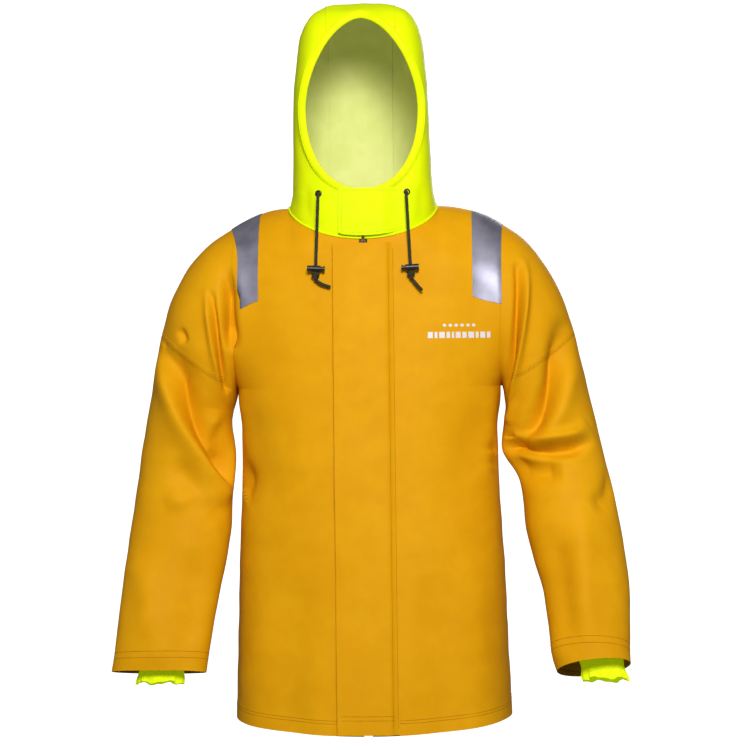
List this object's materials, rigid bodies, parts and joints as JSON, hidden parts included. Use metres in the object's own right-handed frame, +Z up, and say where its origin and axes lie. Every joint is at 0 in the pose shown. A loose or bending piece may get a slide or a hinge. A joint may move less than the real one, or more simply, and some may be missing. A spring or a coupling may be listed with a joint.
{
  "type": "foul weather jacket",
  "caption": "Coated foul weather jacket with a fixed hi-vis hood, drawcord, full-length zip under a storm flap, reflective shoulder tapes and elastic inner cuffs.",
  "frame": {"origin": "middle of the neck opening, level with the shoulder points", "axes": "+Z up, the front faces -Y, +X towards the wearer's left"},
  "size_m": [0.761, 0.2731, 1.0761],
  "materials": {
    "coated_fabric": "matt coated fabric",
    "hi_vis_fabric": "fluorescent coated fabric",
    "hi_vis_patch": "hook and loop",
    "black_patch": "hook and loop",
    "zip_tape": "woven tape",
    "zip_plastic": "moulded plastic",
    "webbing": "woven webbing",
    "black_metal": "black lacquered brass",
    "cord": "braided cord",
    "stop_plastic": "moulded plastic",
    "spring_steel": "bright wire",
    "reflective_tape": "glass bead reflective tape",
    "knitted_cuff": "knitted, elastic"
  },
  "bodies": {
    "torso": {"front_panel_left": "coated_fabric", "front_panel_right": "coated_fabric", "back_panel": "coated_fabric", "shoulder_left": "coated_fabric", "shoulder_right": "coated_fabric", "hem_facing": "coated_fabric", "inner_fly": "coated_fabric", "zip_tape_left": "zip_tape", "zip_tape_right": "zip_tape", "zip_teeth_left": "zip_plastic", "zip_teeth_right": "zip_plastic", "zip_top_stops": "zip_plastic", "zip_bottom_box": "zip_plastic", "flap_loop_patches": "black_patch", "collar_left": "hi_vis_fabric", "collar_right": "hi_vis_fabric", "chin_loop_patch": "hi_vis_patch", "hanger_loop": "webbing", "eyelet_left": "black_metal", "eyelet_right": "black_metal", "drawcord_left": "cord", "drawcord_right": "cord", "cord_knot_left": "cord", "cord_knot_right": "cord", "reflective_tape_left": "reflective_tape", "reflective_tape_right": "reflective_tape"},
    "storm_flap": {"storm_flap": "coated_fabric", "flap_hook_patches": "black_patch"},
    "chin_flap": {"chin_flap": "hi_vis_fabric", "chin_hook_patch": "hi_vis_patch"},
    "zip_slider": {"zip_slider": "zip_plastic"},
    "zip_pull": {"zip_pull": "zip_plastic"},
    "hood": {"hood_side_left": "hi_vis_fabric", "hood_side_right": "hi_vis_fabric", "hood_crown": "hi_vis_fabric", "hood_face_hem": "hi_vis_fabric", "drawcord_in_hem": "cord"},
    "upper_sleeve_left": {"upper_sleeve_left": "coated_fabric"},
    "lower_sleeve_left": {"lower_sleeve_left": "coated_fabric", "cuff_facing_left": "coated_fabric"},
    "inner_cuff_left": {"inner_cuff_left": "knitted_cuff"},
    "cord_stop_left": {"cord_stop_left": "stop_plastic", "stop_spring_left": "spring_steel"},
    "stop_button_left": {"stop_button_left": "stop_plastic"},
    "upper_sleeve_right": {"upper_sleeve_right": "coated_fabric"},
    "lower_sleeve_right": {"lower_sleeve_right": "coated_fabric", "cuff_facing_right": "coated_fabric"},
    "inner_cuff_right": {"inner_cuff_right": "knitted_cuff"},
    "cord_stop_right": {"cord_stop_right": "stop_plastic", "stop_spring_right": "spring_steel"},
    "stop_button_right": {"stop_button_right": "stop_plastic"}
  },
  "joints": [
    {"name": "storm_flap_fold", "type": "hinge", "parent": "torso", "child": "storm_flap", "pos_m": [0.042, -0.1264, -0.4], "axis": [0, 0.0415, 0.9991], "range_deg": [0, 135]},
    {"name": "chin_flap_fold", "type": "hinge", "parent": "torso", "child": "chin_flap", "pos_m": [0.0255, -0.112, -0.02], "axis": [0, 0.02, 0.9998], "range_deg": [0, 110]},
    {"name": "zip_slide", "type": "slide", "parent": "torso", "child": "zip_slider", "axis": [0, -0.042, -0.9991], "range_m": [0, 0.63]},
    {"name": "zip_pull_swing", "type": "hinge", "parent": "zip_slider", "child": "zip_pull", "pos_m": [0, -0.10969, -0.065], "axis": [-1, 0, 0], "range_deg": [0, 6]},
    {"name": "hood_tilt", "type": "hinge", "parent": "torso", "child": "hood", "pos_m": [0, -0.005, -0.028], "axis": [-1, 0, 0], "range_deg": [0, 25]},
    {"name": "shoulder_left", "type": "hinge", "parent": "torso", "child": "upper_sleeve_left", "pos_m": [0.2559, 0, -0.134], "axis": [0, -1, 0], "range_deg": [0, 55]},
    {"name": "elbow_left", "type": "hinge", "parent": "upper_sleeve_left", "child": "lower_sleeve_left", "pos_m": [0.283, 0.005, -0.395], "axis": [-1, 0, 0], "range_deg": [0, 85]},
    {"name": "inner_cuff_slide_left", "type": "slide", "parent": "lower_sleeve_left", "child": "inner_cuff_left", "axis": [0.167, -0.2572, -0.9518], "range_m": [-0.02, 0.015]},
    {"name": "cord_stop_slide_left", "type": "slide", "parent": "torso", "child": "cord_stop_left", "axis": [-0.0449, 0, 0.999], "range_m": [0, 0.07]},
    {"name": "stop_button_press_left", "type": "slide", "parent": "cord_stop_left", "child": "stop_button_left", "axis": [0.999, 0, 0.045], "range_m": [0, 0.003], "stiffness_N_per_m": 300, "springref_m": -0.004, "deforming": ["stop_spring_left"]},
    {"name": "shoulder_right", "type": "hinge", "parent": "torso", "child": "upper_sleeve_right", "pos_m": [-0.2559, 0, -0.134], "axis": [0, 1, 0], "range_deg": [0, 55]},
    {"name": "elbow_right", "type": "hinge", "parent": "upper_sleeve_right", "child": "lower_sleeve_right", "pos_m": [-0.283, 0.005, -0.395], "axis": [-1, 0, 0], "range_deg": [0, 85]},
    {"name": "inner_cuff_slide_right", "type": "slide", "parent": "lower_sleeve_right", "child": "inner_cuff_right", "axis": [-0.0944, -0.2024, -0.9747], "range_m": [-0.02, 0.015]},
    {"name": "cord_stop_slide_right", "type": "slide", "parent": "torso", "child": "cord_stop_right", "axis": [0.0449, 0, 0.999], "range_m": [0, 0.07]},
    {"name": "stop_button_press_right", "type": "slide", "parent": "cord_stop_right", "child": "stop_button_right", "axis": [-0.999, 0, 0.045], "range_m": [0, 0.003], "stiffness_N_per_m": 300, "springref_m": -0.004, "deforming": ["stop_spring_right"]}
  ]
}
